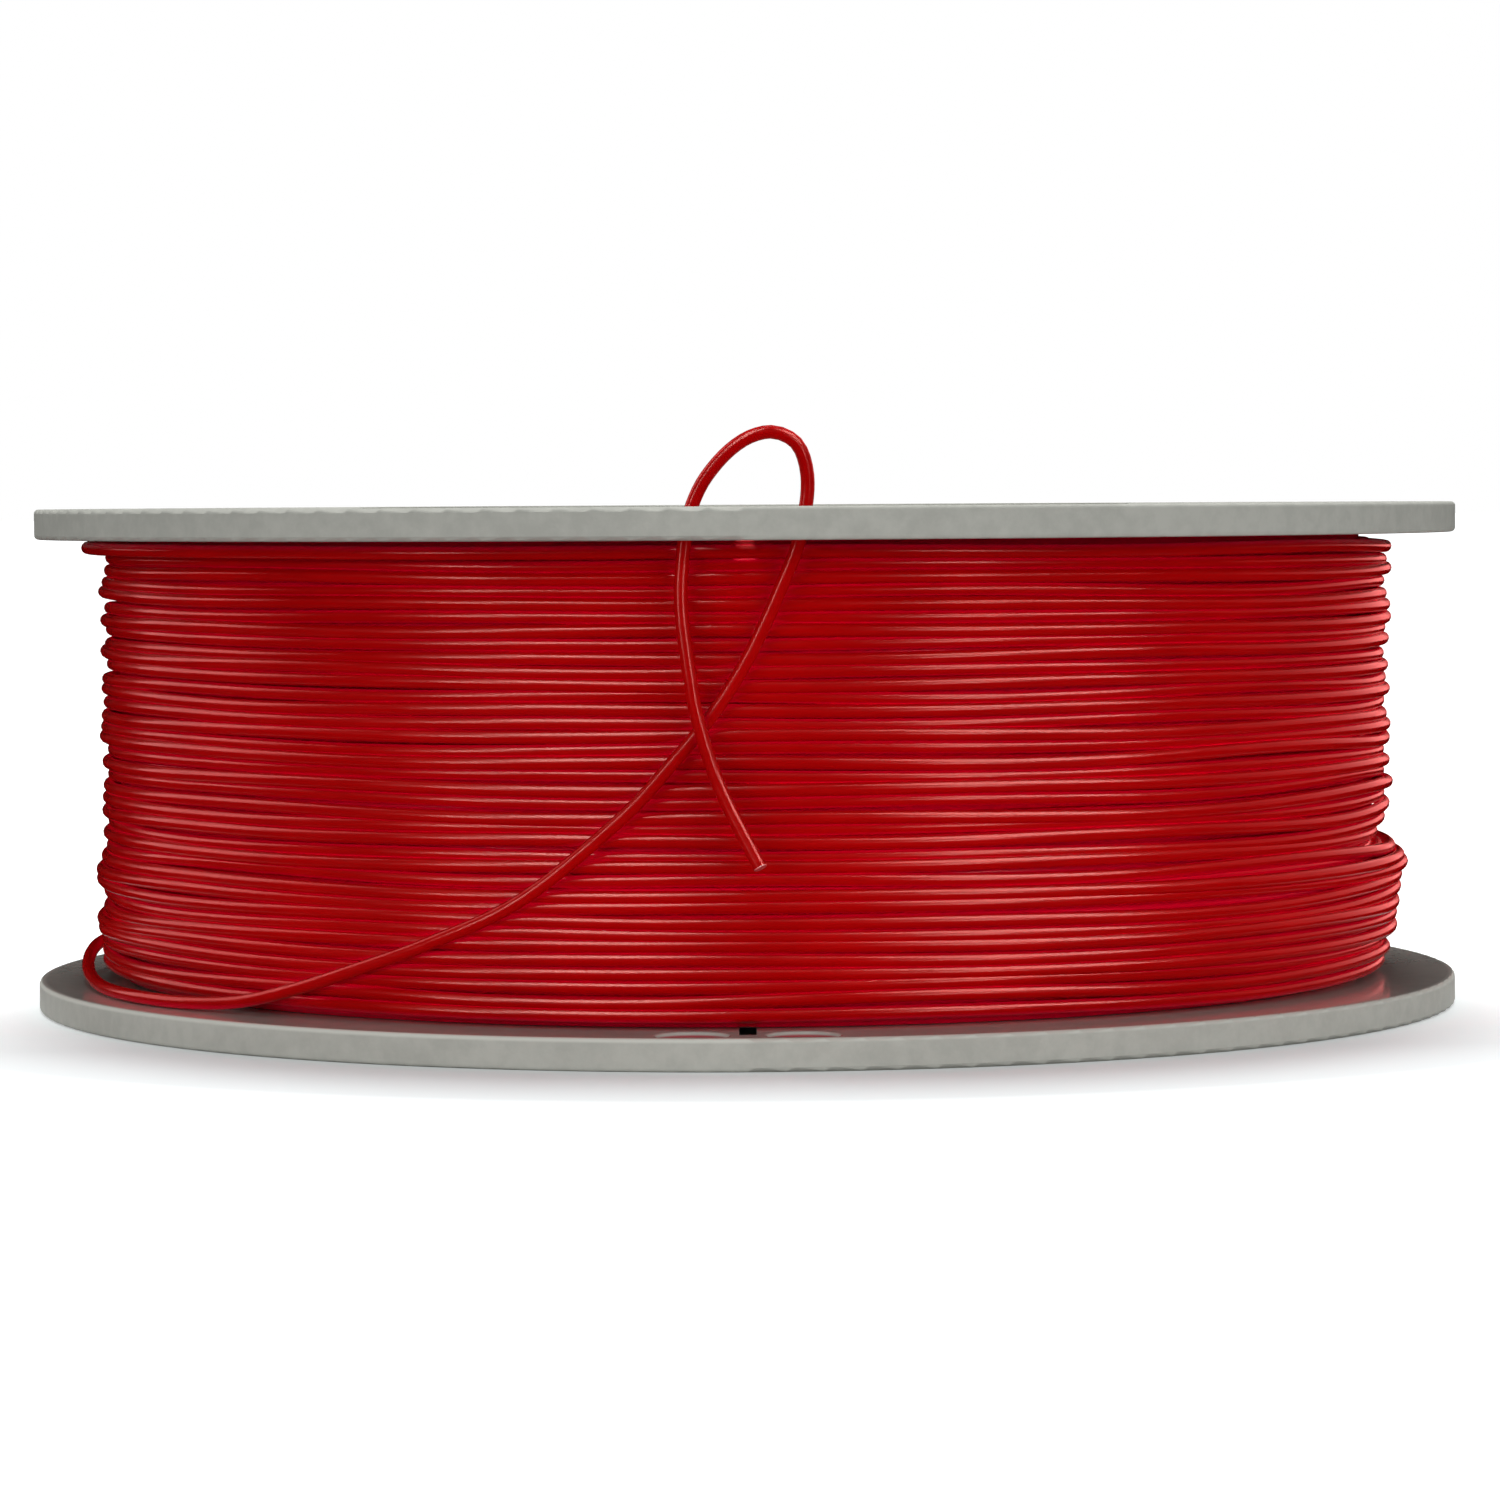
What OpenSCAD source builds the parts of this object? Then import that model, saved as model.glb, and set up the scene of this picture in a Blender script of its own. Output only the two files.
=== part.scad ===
// Full reel of 1.75 mm plastic filament, lying on one flange.
// Two like flanges are clipped to the ends of a ribbed drum, and one strand is wound on it.
// The origin is the centre of the lower flange's outer face, with +Z along the bore.
// The holes for the filament's end are at the front, on the -Y side of both flanges.

/* [Reel] */
// Outside diameter of both flanges
flange_d = 200; // [199:0.5:204]
// Width over both flanges
reel_w = 70; // [70:0.5:74]
// Bore that turns on the holder's spindle
bore_d = 52; // [50:0.5:53]
// Outside diameter of the drum under the filament
drum_d = 104; // [102:0.5:106]

/* [Flange] */
// Thickness of the rim and the hub
rim_t = 4.2; // [4:0.1:4.4]
// Thickness of the web between them
web_t = 2.2; // [2:0.1:2.4]
// Width of the lip around the edge
lip_w = 1.8; // [1.5:0.1:2]
// Rounding of the lip's edges
lip_round = 0.6; // [0.3:0.05:0.7]
// Stiffening ribs around the hub
hub_ribs = 12; // [12:12:24]
// Width of the sight slot that shows how much is left
sight_slot_w = 2.2; // [1.8:0.1:3]
// Diameter of each hole for the filament's end
end_hole_d = 8.3; // [7:0.1:8.6]
// Distance from the middle of one end hole to the other
end_hole_spacing = 13.9; // [13:0.1:15]

/* [Drum] */
// Wall of the drum and of its inner tube
drum_wall = 2; // [1.6:0.1:2.4]
// Ribs between the drum and its inner tube
drum_ribs = 6; // [6:6:12]
// Snap arms at each end of the drum
snap_arms = 6; // [3:3:6]

/* [Filament] */
// Diameter of the filament
filament_d = 1.75; // [1.7:0.05:1.8]
// Outside diameter of the winding
winding_d = 181.2; // [180:0.2:181.6]
// Turns in the outer layer
outer_turns = 24; // [12:1:24]

/* [Hidden] */

// One $fn for every turned surface, and one for small holes and rounds
turned_fn = 240;
small_fn = 48;
skin = 0.1;       // how far a cutter passes a face, and how far joined shapes sink in

shell_grey = [0.62, 0.62, 0.58];
filament_red = [0.64, 0.01, 0.02];

// Flange
flange_r = flange_d / 2;
bore_r = bore_d / 2;
drum_r = drum_d / 2;
dish = rim_t - web_t;              // depth of the recess in the outer face
dish_r = flange_r - lip_w;
hub_r = bore_r + 7;
bore_chamfer = 0.8;
collar_wall = 2;
collar_h = 14;                     // from the outer face to the tip inside the drum
groove_depth = 0.8;                // the drum's wall seats this deep in each flange
seat_gap = 0.1;
ring_in = drum_r + 0.6;            // stiffening ring over the drum's wall
ring_w = 1.8;
dish_fillet = 0.8;
hub_rib_t = 1.6;
hub_rib_step = 0.4;                // the ribs stand this far below the hub's face
hub_rib_turn = 15;
sight_slot_in = drum_r + 6;
sight_slot_out = 95.2;
end_hole_centre_y = 95.6;
end_hole_flare = 0.8;              // round edge of each end hole
end_hole_limit = dish_r - 0.2;     // the lip stays whole past this radius

// Drum
inner_tube_in = bore_r + collar_wall + seat_gap;
inner_tube_out = inner_tube_in + 2.6;
drum_in = drum_r - drum_wall;
drum_rib_t = 1.8;
drum_rib_inset = 1.8;              // the ribs stop short of the flanges
drum_rib_turn = 30;
core_low = rim_t;
core_high = reel_w - rim_t;

// Snap arms
arm_out = drum_in - 1.2;           // outer side of the tongue
arm_t = 1.6;
arm_angle = 11;
arm_root_z = 17;
arm_root_h = 4;
arm_tip_z = 0.4;
barb = 1.15;
barb_play = 0.05;
window_play = 0.2;
window_angle = arm_angle + 1.6;

// Filament in the winding
winding_r = (winding_d - filament_d) / 2;     // to the middle of the strand
rings_per_turn = 24;
winding_sides = 6;
chord_dip = winding_r * (1 - cos(180 / rings_per_turn));
packed_r = winding_r - filament_d / 2 - chord_dip - 0.05;
flange_gap = 0.03;
winding_low = core_low + filament_d / 2 + 0.1;
winding_high = core_high - filament_d / 2 - flange_gap;
winding_turn = 135;                // direction in which the outer layer starts and ends
climb_angle = 30;                  // length of the climb out of the layer below

// The filament's inner end
anchor_turn = 200;
anchor_z = 12;
anchor_hole_d = 3.2;
anchor_bend_r = 3;
anchor_run = 14;
anchor_gap = 0.01;                 // from the strand's flat end to the round face it meets

// The free end: direction, distance from the axis and height of each point on its route.
// It leaves the outer layer behind the reel, lies on the lower flange, climbs across the
// front, goes up through the right hole and down through the left one.
tail_route = [
    [145, 91.2, 5.3],
    [156, 92, 6.4],
    [168, 92.2, 8],
    [177, 92.3, 8.3],
    [184, 92.8, 7.6],
    [191, 93.4, 6.4],
    [198, 94, 5.5],
    [205, 94.8, 5.2],
    [212, 95.1, 5.2],
    [218, 94.2, 5.2],
    [224, 92.8, 5.8],
    [230, 92.1, 7.8],
    [236, 91.8, 10.6],
    [244, 91.7, 14.9],
    [252, 91.7, 20.7],
    [260, 91.7, 30.8],
    [264.3, 91.7, 38.1],
    [267.6, 91.7, 44.5],
    [270, 91.7, 50.5],
    [271.6, 91.8, 55.6],
    [273, 92, 60.7],
    [274, 92.6, 64.8],
    [274.7, 92.9, 70],
    [274.8, 93.2, 73.8],
    [274.3, 93.6, 76.9],
    [273.4, 93.9, 78.5],
    [272, 94, 79.2],
    [270.4, 94, 78.6],
    [268.9, 93.8, 77],
    [267.5, 93.5, 74.6],
    [266.4, 92.8, 71.9],
    [265.6, 92.7, 68.2],
    [265.1, 92.8, 62],
    [265.1, 93.2, 56.5],
    [265.7, 93.6, 49],
    [266.2, 93.6, 44.2],
    [267.4, 93.4, 37.4],
    [268.7, 93.9, 32.4],
    [271, 95.6, 25.1]
];
tail_ring_step = 4.6;
tail_sides = 8;

function around(turn, radius, z) = [radius * cos(turn), radius * sin(turn), z];
function tangent(turn) = [-sin(turn), cos(turn), 0];
function unit(v) = v / norm(v);

// Direction of a path at point i
function heading(path, i) = unit(path[min(i + 1, len(path) - 1)] - path[max(i - 1, 0)]);

// A ring of points round a path, with its first point away from the reel's axis
function ring_at(p, dir, sides, r) =
    let (out = unit([p.x, p.y, 0]),
         u = unit(out - (out * dir) * dir),
         v = cross(dir, u))
    [for (k = [0 : sides - 1]) p + r * (cos(k * 360 / sides) * u + sin(k * 360 / sides) * v)];

// Triangles between one ring and the next, for every ring
function wall_faces(rings, sides) =
    [for (i = [0 : rings - 2], k = [0 : sides - 1])
        let (a = i * sides + k,
             b = i * sides + (k + 1) % sides)
        each [[a, b, b + sides], [a, b + sides, a + sides]]];

function cap_faces(rings, sides) =
    let (last = (rings - 1) * sides)
    [for (k = [1 : sides - 2]) each [[0, k + 1, k], [last, last + k, last + k + 1]]];

// A tube along a path, square at its first and last points
module tube_along(path, first_dir, d, sides) {
    n = len(path);
    dirs = [for (i = [0 : n - 1]) i == 0 ? first_dir : heading(path, i)];
    rings = [for (i = [0 : n - 1]) ring_at(path[i], dirs[i], sides, d / 2)];
    polyhedron([for (r = rings) each r], concat(wall_faces(n, sides), cap_faces(n, sides)));
}

// Point a fraction t of the way from b to c on a smooth curve through a, b, c and d
function spline_point(a, b, c, d, t) =
    0.5 * ((2 * b) + (c - a) * t + (2 * a - 5 * b + 4 * c - d) * t * t
           + (3 * b - a - 3 * c + d) * t * t * t);

function smooth_path(pts, step) =
    let (n = len(pts))
    [for (i = [0 : n - 2])
        let (a = pts[max(i - 1, 0)],
             b = pts[i],
             c = pts[i + 1],
             d = pts[min(i + 2, n - 1)],
             parts = max(1, round(norm(c - b) / step)))
        for (k = [0 : parts - 1]) spline_point(a, b, c, d, k / parts),
     pts[n - 1]];

// Outer layer: one strand that goes down the reel, straight for one diameter at each end
winding_steps = outer_turns * rings_per_turn;
function winding_point(i) =
    around(winding_turn + i * 360 / rings_per_turn, winding_r,
           winding_high + (winding_low - winding_high) * i / winding_steps);
winding_start = winding_point(0);
winding_end = winding_point(winding_steps) + filament_d * tangent(winding_turn);
winding_path = concat(
    [winding_start, winding_start + filament_d * tangent(winding_turn)],
    [for (i = [1 : winding_steps]) winding_point(i)],
    [winding_end]);

// Least gap between the strand and itself, between rings at least half a turn apart
winding_gap = min([for (i = [0 : winding_steps - rings_per_turn / 2])
    min([for (j = [i + rings_per_turn / 2 : winding_steps])
        norm(winding_point(i) - winding_point(j))])]) - filament_d;

tail_path = smooth_path(
    concat([winding_end], [for (p = tail_route) around(p[0], p[1], p[2])]), tail_ring_step);

function path_length(path) =
    [for (i = [1 : len(path) - 1]) norm(path[i] - path[i - 1])]
    * [for (i = [1 : len(path) - 1]) 1];

echo(winding_gap = winding_gap, winding_rings = len(winding_path));
echo(tail_length = path_length(tail_path), tail_rings = len(tail_path));

// Concave round for an inside corner, in the corner of the first quadrant
module corner_fillet(r) {
    difference() {
        square(r);
        translate([r, r]) circle(r, $fn = small_fn);
    }
}

// Rectangle with all four corners rounded
module rounded_rect(size, r) {
    translate([r, 0]) square([size.x - 2 * r, size.y]);
    translate([0, r]) square([size.x, size.y - 2 * r]);
    for (x = [r, size.x - r], y = [r, size.y - r])
        translate([x, y]) circle(r, $fn = small_fn);
}

// Half section of a flange: web, lip, stiffening ring and hub with its collar
module flange_section() {
    difference() {
        union() {
            translate([bore_r, dish]) square([dish_r + lip_w / 2 - bore_r, web_t]);
            translate([dish_r, 0]) rounded_rect([lip_w, rim_t], lip_round);
            translate([dish_r, dish]) rotate(180) corner_fillet(dish_fillet);
            translate([ring_in, 0]) square([ring_w, dish + skin]);
            translate([ring_in + ring_w, dish]) mirror([0, 1]) corner_fillet(dish_fillet);
            translate([bore_r, 0]) square([hub_r - bore_r, rim_t]);
            translate([hub_r, dish]) mirror([0, 1]) corner_fillet(dish_fillet);
            translate([bore_r, rim_t - skin]) square([collar_wall, collar_h - rim_t + skin]);
        }
        // Chamfers at the mouth of the bore and outside the collar's tip
        polygon([[bore_r - skin, -skin], [bore_r + bore_chamfer + skin, -skin],
                 [bore_r - skin, bore_chamfer + skin]]);
        polygon([[bore_r + collar_wall + skin, collar_h + skin],
                 [bore_r + collar_wall + skin, collar_h - bore_chamfer - skin],
                 [bore_r + collar_wall - bore_chamfer - skin, collar_h + skin]]);
        // Groove that the drum's wall seats in
        translate([drum_in - seat_gap, rim_t - groove_depth])
            square([drum_wall + 2 * seat_gap, groove_depth + skin]);
    }
}

// One rib from the hub to the stiffening ring, tapering towards the ring
module hub_rib() {
    translate([0, hub_rib_t / 2, 0]) rotate([90, 0, 0]) linear_extrude(hub_rib_t)
        polygon([[hub_r - 1, hub_rib_step], [ring_in + skin, 2 * hub_rib_step],
                 [ring_in + skin, dish + skin], [hub_r - 1, dish + skin]]);
}

// Windows that the drum's snap arms go through
module snap_windows() {
    for (k = [0 : snap_arms - 1])
        rotate(k * 360 / snap_arms - window_angle / 2)
            rotate_extrude(angle = window_angle, $fn = turned_fn)
                translate([arm_out - arm_t - barb - window_play, -skin])
                    square([arm_t + barb + 2 * window_play, rim_t + 2 * skin]);
}

// Cutter for one end hole: a round hole with a rounded edge at both faces of the web
module end_hole() {
    r = end_hole_d / 2;
    intersection() {
        translate([0, -end_hole_centre_y, 0]) rotate_extrude($fn = 2 * small_fn) {
            translate([0, -skin]) square([r, rim_t + 2 * skin]);
            difference() {
                translate([0, rim_t - end_hole_flare])
                    square([r + end_hole_flare, end_hole_flare + skin]);
                translate([r + end_hole_flare, rim_t - end_hole_flare])
                    circle(end_hole_flare, $fn = small_fn);
            }
            difference() {
                translate([0, -skin]) square([r + end_hole_flare, dish + end_hole_flare + skin]);
                translate([r + end_hole_flare, dish + end_hole_flare])
                    circle(end_hole_flare, $fn = small_fn);
            }
        }
        // The hole stops at the lip, which stays whole
        translate([-r * 4, -end_hole_limit, -2 * skin])
            cube([r * 8, end_hole_limit, rim_t + 4 * skin]);
    }
}

// Long narrow slot from the drum to the edge of a full winding
module sight_slot() {
    translate([-sight_slot_w / 2, -sight_slot_out, -skin])
        cube([sight_slot_w, sight_slot_out - sight_slot_in, rim_t + 2 * skin]);
    translate([0, -sight_slot_in, -skin])
        cylinder(d = sight_slot_w, h = rim_t + 2 * skin, $fn = small_fn);
}

// One flange, with its outer face at 0 and the face to the filament at rim_t
module flange() {
    difference() {
        union() {
            rotate_extrude($fn = turned_fn) flange_section();
            for (k = [0 : hub_ribs - 1]) rotate(hub_rib_turn + k * 360 / hub_ribs) hub_rib();
        }
        snap_windows();
        for (side = [-1, 1]) translate([side * end_hole_spacing / 2, 0, 0]) end_hole();
        sight_slot();
    }
}

module lower_flange() {
    color(shell_grey) flange();
}

module upper_flange() {
    color(shell_grey) translate([0, 0, reel_w]) rotate([0, 180, 0]) flange();
}

// Snap arm at the lower end: a tongue that hangs from the drum's wall, with a barb
module snap_arm() {
    tongue_in = arm_out - arm_t;
    catch_z = dish - barb_play;
    rotate(-arm_angle / 2) rotate_extrude(angle = arm_angle, $fn = turned_fn)
        polygon([[tongue_in, arm_root_z + arm_root_h], [drum_in + skin, arm_root_z + arm_root_h],
                 [drum_in + skin, arm_root_z], [arm_out, arm_root_z - 1.5],
                 [arm_out, catch_z], [arm_out + barb, catch_z],
                 [arm_out + barb, catch_z - 0.4], [arm_out - 0.3, arm_tip_z],
                 [tongue_in, arm_tip_z]]);
}

module snap_arm_ring() {
    for (k = [0 : snap_arms - 1]) rotate(k * 360 / snap_arms) snap_arm();
}

// Drum and inner tube in one moulding, joined by ribs
module core_barrel() {
    color(shell_grey) {
        difference() {
            rotate_extrude($fn = turned_fn) {
                translate([drum_in, core_low - groove_depth])
                    square([drum_wall, core_high - core_low + 2 * groove_depth]);
                translate([inner_tube_in, core_low])
                    square([inner_tube_out - inner_tube_in, core_high - core_low]);
            }
            rotate(anchor_turn) translate([drum_in - 1, 0, anchor_z]) rotate([0, 90, 0])
                cylinder(d = anchor_hole_d, h = drum_wall + 2, $fn = small_fn);
        }
        for (k = [0 : drum_ribs - 1])
            rotate(drum_rib_turn + k * 360 / drum_ribs)
                translate([inner_tube_out - skin, -drum_rib_t / 2, core_low + drum_rib_inset])
                    cube([drum_in - inner_tube_out + 2 * skin, drum_rib_t,
                          core_high - core_low - 2 * drum_rib_inset]);
        snap_arm_ring();
        translate([0, 0, reel_w]) rotate([0, 180, 0]) snap_arm_ring();
    }
}

// Inner layers of the winding, with the climb that brings the strand to the outer layer
module packed_filament() {
    color(filament_red) {
        rotate_extrude($fn = turned_fn)
            translate([drum_r, core_low]) square([packed_r - drum_r, core_high - core_low]);
        rotate(winding_turn - climb_angle) rotate_extrude(angle = climb_angle, $fn = turned_fn)
            translate([0, winding_high]) {
                translate([winding_r, 0]) circle(d = filament_d, $fn = small_fn);
                translate([packed_r - skin, -filament_d / 2])
                    square([winding_r - packed_r + skin, filament_d]);
            }
    }
}

module outer_winding() {
    color(filament_red)
        tube_along(winding_path, tangent(winding_turn), filament_d, winding_sides);
}

module filament_tail() {
    color(filament_red)
        tube_along(tail_path, tangent(winding_turn), filament_d, tail_sides);
}

// Inner end of the strand, pushed through the drum's wall and bent against it
module filament_anchor() {
    bend_x = drum_in - 1.2 - filament_d / 2;
    color(filament_red) rotate(anchor_turn) translate([0, 0, anchor_z]) {
        translate([bend_x + anchor_bend_r, 0, 0]) rotate([0, 90, 0])
            cylinder(d = filament_d, h = drum_r - anchor_gap - bend_x - anchor_bend_r,
                     $fn = small_fn);
        translate([bend_x + anchor_bend_r, 0, anchor_bend_r]) rotate([90, 0, 0])
            rotate(180) rotate_extrude(angle = 90, $fn = turned_fn)
                translate([anchor_bend_r, 0]) circle(d = filament_d, $fn = small_fn);
        translate([bend_x, 0, anchor_bend_r])
            cylinder(d = filament_d, h = anchor_run, $fn = small_fn);
    }
}

lower_flange();
upper_flange();
core_barrel();
packed_filament();
outer_winding();
filament_tail();
filament_anchor();
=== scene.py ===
import math

import bmesh
import bpy
import numpy as np
from mathutils import Matrix, Vector


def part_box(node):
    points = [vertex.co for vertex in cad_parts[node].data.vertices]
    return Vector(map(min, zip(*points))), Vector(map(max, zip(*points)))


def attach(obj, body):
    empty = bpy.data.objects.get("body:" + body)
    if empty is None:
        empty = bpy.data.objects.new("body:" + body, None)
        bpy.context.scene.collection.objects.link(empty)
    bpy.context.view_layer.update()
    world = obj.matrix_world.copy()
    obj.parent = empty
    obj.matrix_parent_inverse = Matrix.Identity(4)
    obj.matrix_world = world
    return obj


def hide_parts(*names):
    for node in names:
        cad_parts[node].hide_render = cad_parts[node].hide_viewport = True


bl_info = {
    "name": "Filament Reel",
    "version": (1, 0, 0),
    "blender": (4, 5, 0),
    "location": "3D View > Sidebar > Reel",
    "description": "Winds, finishes and lights a full reel of plastic filament",
    "category": "Object",
}

MM = 0.001

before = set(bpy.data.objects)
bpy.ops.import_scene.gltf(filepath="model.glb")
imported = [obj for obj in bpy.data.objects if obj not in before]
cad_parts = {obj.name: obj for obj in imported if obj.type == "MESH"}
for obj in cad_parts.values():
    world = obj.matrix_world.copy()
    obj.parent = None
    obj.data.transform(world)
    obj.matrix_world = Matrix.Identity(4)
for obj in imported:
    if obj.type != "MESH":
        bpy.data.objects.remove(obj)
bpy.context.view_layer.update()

# Levels that everything stands on, from the frame
FLANGE_FACE_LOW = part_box("packed_filament")[0].z
FLANGE_FACE_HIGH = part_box("packed_filament")[1].z
DRUM_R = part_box("core_barrel")[1].x
FLANGE_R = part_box("lower_flange")[1].x
REEL_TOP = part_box("upper_flange")[1].z
BODY = "root"

# The outer layer starts and ends in this direction, behind the reel. It ends at this distance
# from the axis, and so far above the lower flange.
WINDING_TURN = 135.0
WINDING_R = 89.725 * MM
END_GAP = 0.1 * MM

# Free end: direction in degrees, distance from the axis and height in millimetres
TAIL_ROUTE = (
    (145, 91.2, 5.3),
    (156, 92, 6.4),
    (168, 92.2, 8),
    (177, 92.3, 8.3),
    (184, 92.8, 7.6),
    (191, 93.4, 6.4),
    (198, 94, 5.5),
    (205, 94.8, 5.2),
    (212, 95.1, 5.2),
    (218, 94.2, 5.2),
    (224, 92.8, 5.8),
    (230, 92.1, 7.8),
    (236, 91.8, 10.6),
    (244, 91.7, 14.9),
    (252, 91.7, 20.7),
    (260, 91.7, 30.8),
    (264.3, 91.7, 38.1),
    (267.6, 91.7, 44.5),
    (270, 91.7, 50.5),
    (271.6, 91.8, 55.6),
    (273, 92, 60.7),
    (274, 92.6, 64.8),
    (274.7, 92.9, 70),
    (274.8, 93.2, 73.8),
    (274.3, 93.6, 76.9),
    (273.4, 93.9, 78.5),
    (272, 94, 79.2),
    (270.4, 94, 78.6),
    (268.9, 93.8, 77),
    (267.5, 93.5, 74.6),
    (266.4, 92.8, 71.9),
    (265.6, 92.7, 68.2),
    (265.1, 92.8, 62),
    (265.1, 93.2, 56.5),
    (265.7, 93.6, 49),
    (266.2, 93.6, 44.2),
    (267.4, 93.4, 37.4),
    (268.7, 93.9, 32.4),
    (271, 95.6, 25.1),
)


# Settings ---------------------------------------------------------------------------------

class ReelFilamentSettings(bpy.types.PropertyGroup):
    """Sizes and look of the wound strand"""

    diameter: bpy.props.FloatProperty(
        name="Diameter", description="Diameter of the filament",
        default=1.75 * MM, min=1.0 * MM, max=3.0 * MM, precision=5, unit="LENGTH")
    outer_turns: bpy.props.IntProperty(
        name="Outer turns", description="Turns in the layer that shows",
        default=36, min=20, max=40)
    under_turns: bpy.props.IntProperty(
        name="Under turns", description="Turns in the layer below it",
        default=34, min=20, max=36)
    under_radius: bpy.props.FloatProperty(
        name="Under radius", description="Distance from the axis to the strand in the layer below",
        default=87.6 * MM, precision=5, unit="LENGTH")
    extra_turns: bpy.props.IntProperty(
        name="Extra turns", description="Turns of a part layer low on the reel",
        default=7, min=1, max=12)
    extra_height: bpy.props.FloatProperty(
        name="Extra height", description="Height at which the part layer starts",
        default=10.2 * MM, precision=5, unit="LENGTH")
    spread: bpy.props.FloatProperty(
        name="Spread", description="How far the turns wander, as a share of their spacing",
        default=0.13, min=0.0, max=0.4, subtype="FACTOR")
    slack: bpy.props.FloatProperty(
        name="Slack", description="How far loose turns stand out at the sides",
        default=0.45 * MM, precision=5, unit="LENGTH")
    bulge: bpy.props.FloatProperty(
        name="Bulge", description="How far the turns over the part layer stand out at the right",
        default=2.7 * MM, precision=5, unit="LENGTH")
    seed: bpy.props.IntProperty(
        name="Seed", description="Picks one irregular winding", default=11)
    colour: bpy.props.FloatVectorProperty(
        name="Colour", description="Colour of the filament", subtype="COLOR", size=4,
        default=(0.405, 0.0, 0.0005, 1.0), min=0.0, max=1.0)
    # Painted light: the grooves between the turns are painted in this brighter colour, a painted
    # glow that stands in for light coming through the turns and lifts their shade
    groove_painted_glow: bpy.props.FloatVectorProperty(
        name="Groove colour", description="Colour between the turns, where light comes through them",
        subtype="COLOR", size=4, default=(0.88, 0.0, 0.03, 1.0), min=0.0, max=1.0)
    roughness: bpy.props.FloatProperty(
        name="Roughness", description="Roughness of the filament's surface",
        default=0.2, min=0.0, max=1.0, subtype="FACTOR")


class ReelPlasticSettings(bpy.types.PropertyGroup):
    """Look of the moulded flanges and drum"""

    colour: bpy.props.FloatVectorProperty(
        name="Colour", description="Colour of the moulded plastic", subtype="COLOR", size=4,
        default=(0.43, 0.434, 0.396, 1.0), min=0.0, max=1.0)
    roughness: bpy.props.FloatProperty(
        name="Roughness", description="Roughness of the textured faces",
        default=0.5, min=0.0, max=1.0, subtype="FACTOR")


class ReelStageSettings(bpy.types.PropertyGroup):
    """Camera, floor and lamps"""

    lens: bpy.props.FloatProperty(
        name="Lens", description="Focal length in millimetres on a 36 mm sensor",
        default=126.9, min=20.0, max=300.0)
    distance: bpy.props.FloatProperty(
        name="Distance", description="From the camera to the reel's axis",
        default=751.4 * MM, precision=4, unit="LENGTH")
    height: bpy.props.FloatProperty(
        name="Height", description="Height of the camera above the floor",
        default=70.85 * MM, precision=4, unit="LENGTH")
    tilt: bpy.props.FloatProperty(
        name="Tilt", description="How far the camera looks down",
        default=math.radians(2.715), precision=4, unit="ROTATION")
    roll: bpy.props.FloatProperty(
        name="Roll", description="How far the camera is turned about its own axis",
        default=math.radians(0.339), precision=4, unit="ROTATION")
    lamp_power: bpy.props.FloatProperty(
        name="Lamp power", description="Power of each soft box",
        default=4.5, min=0.0, unit="POWER")
    highlight: bpy.props.FloatProperty(
        name="Highlight", description="Brightness of the strips that make the highlights",
        default=66.0, min=0.0)
    world_level: bpy.props.FloatProperty(
        name="Room light", description="Strength of the even light from all round",
        default=0.41, min=0.0, max=2.0)
    # Painted shade: the floor's own glow beside the reel is lowered to this, so that the reel's
    # shadow shows there and is deepened
    floor_light: bpy.props.FloatProperty(
        name="Floor light", description="The floor's own light beside the reel, in its shade",
        default=0.08, min=0.0, max=1.0, subtype="FACTOR")


# The camera looks from direction 270. It stands this far to one side of the axis, and is turned
# by so many degrees.
CAMERA_ASIDE = -0.26 * MM
CAMERA_YAW = -0.063

# In metres: from the reel's middle to the lamps, from its axis to the upright dark cards and
# their height, how far the lying ones are off the floor, and from the axis to the floor's sides
LAMP_DISTANCE = 1.3
CARD_DISTANCE = 2.5
CARD_HEIGHT = 3.0
CARD_GAP = 0.5 * MM
FLOOR_REACH = 20.0

# Lamps: name, direction in degrees, degrees above the reel, width and height in metres, share
# of the power or the brightness, and for a strip how much green and blue it has beside its red
SOFT_BOXES = (
    ("soft_box_front_left", 234.0, 10.0, 0.8, 0.6, 1.0),
    ("soft_box_front_right", 310.0, 10.0, 0.8, 0.6, 1.12),
    ("soft_box_top", 90.0, 76.0, 0.6, 0.65, 3.5),
)
# Strips that only put highlights on the strands. Those at the sides are tinted, because a
# strand that is seen edge on reflects them without its own tint.
STRIPS = (
    ("strip_front_left", 239.0, 45.0, 0.6, 1.0, 1.0, 1.0),
    ("strip_front_right", 326.0, 42.0, 0.8, 1.0, 0.75, 1.0),
    ("strip_low_left", 222.0, 12.0, 0.25, 0.55, 0.8, 1.0),
    ("strip_low_right", 306.0, 6.0, 0.3, 0.4, 0.8, 1.0),
    ("strip_left", 148.0, 24.0, 0.5, 1.0, 0.1, 0.4),
    ("strip_left_near", 167.0, 31.0, 0.45, 1.0, 0.22, 0.4),
    ("strip_right", 36.0, 22.0, 1.9, 1.25, 0.05, 0.25),
)
# The pieces that the strips light
STRANDS = ("free_end", "nipped_tip", "outer_turns", "inner_layers", "inner_end")


# Helpers ----------------------------------------------------------------------------------

def around(turn, radius, height):
    """Point at a direction in degrees, a distance from the axis and a height"""
    angle = math.radians(turn)
    return Vector((radius * math.cos(angle), radius * math.sin(angle), height))


def tangent(turn):
    """The way round the reel at a direction in degrees"""
    angle = math.radians(turn)
    return Vector((-math.sin(angle), math.cos(angle), 0.0))


def link(name, data):
    """A new object in the scene"""
    piece = bpy.data.objects.new(name, data)
    bpy.context.scene.collection.objects.link(piece)
    return piece


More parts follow.
